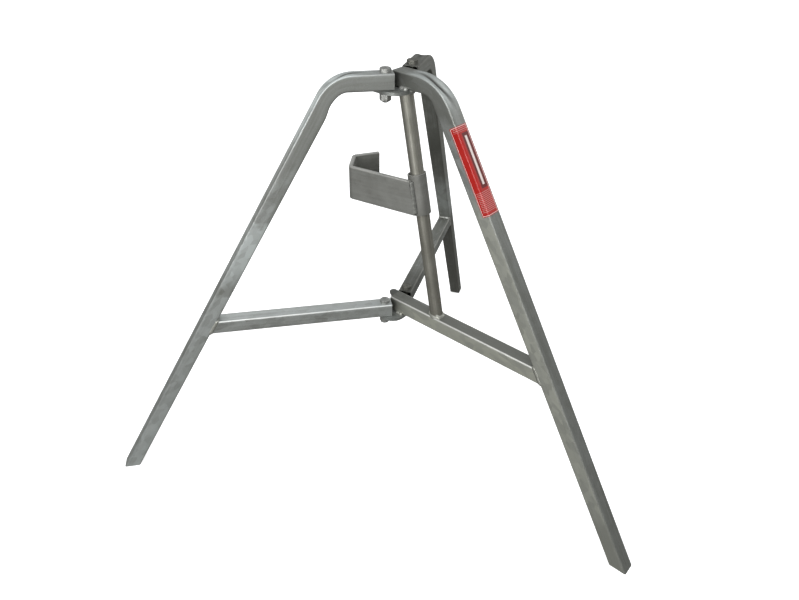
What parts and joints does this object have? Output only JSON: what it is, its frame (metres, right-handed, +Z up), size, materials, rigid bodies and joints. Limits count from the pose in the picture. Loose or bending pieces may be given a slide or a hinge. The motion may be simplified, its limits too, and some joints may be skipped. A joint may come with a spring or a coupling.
{
  "type": "folding prop tripod",
  "caption": "Folding tripod that stands a round prop upright: braced legs of bent square tube swing on bolts, and a hooked strap wedges down a leaning bar.",
  "frame": {"origin": "on the floor, at the centre of the bounding box as it stands with its legs spread", "axes": "+X along the fixed leg, away from the seat; +Z up along the seat axis"},
  "size_m": [1.0424, 1.1494, 0.8985],
  "materials": {
    "leg_tube": "hot-dip galvanised",
    "hinge_plate": "hot-dip galvanised",
    "clamp_steel": "dull galvanised",
    "fastener": "zinc plated"
  },
  "bodies": {
    "frame": {"main_leg_tube": "leg_tube", "main_brace": "leg_tube", "upper_hinge_plate": "hinge_plate", "lower_hinge_plate": "hinge_plate", "wedge_bar": "clamp_steel", "left_upper_bolt": "fastener", "left_upper_nut": "fastener", "left_lower_bolt": "fastener", "left_lower_nut": "fastener", "back_upper_bolt": "fastener", "back_upper_nut": "fastener", "back_lower_bolt": "fastener", "back_lower_nut": "fastener"},
    "left_leg": {"left_leg_tube": "leg_tube", "left_brace": "leg_tube"},
    "back_leg": {"back_leg_tube": "leg_tube", "back_brace": "leg_tube"},
    "clamp_sleeve": {"clamp_sleeve": "clamp_steel"},
    "clamp_strap": {"clamp_strap": "clamp_steel"}
  },
  "joints": [
    {"name": "left_leg_swing", "type": "hinge", "parent": "frame", "child": "left_leg", "pos_m": [-0.11981, -0.0785, 0.62], "axis": [0, 0, 1], "range_deg": [-31, 127]},
    {"name": "back_leg_swing", "type": "hinge", "parent": "frame", "child": "back_leg", "pos_m": [-0.11981, -0.00386, 0.62], "axis": [0, 0, 1], "range_deg": [-112, 46]},
    {"name": "clamp_slide", "type": "slide", "parent": "frame", "child": "clamp_sleeve", "axis": [-0.2096, 0, 0.9778], "range_m": [-0.211, 0.143]},
    {"name": "clamp_swing", "type": "hinge", "parent": "clamp_sleeve", "child": "clamp_strap", "pos_m": [-0.06244, -0.04118, 0.65767], "axis": [-0.2096, 0, 0.9778], "range_deg": [0, 100]}
  ]
}
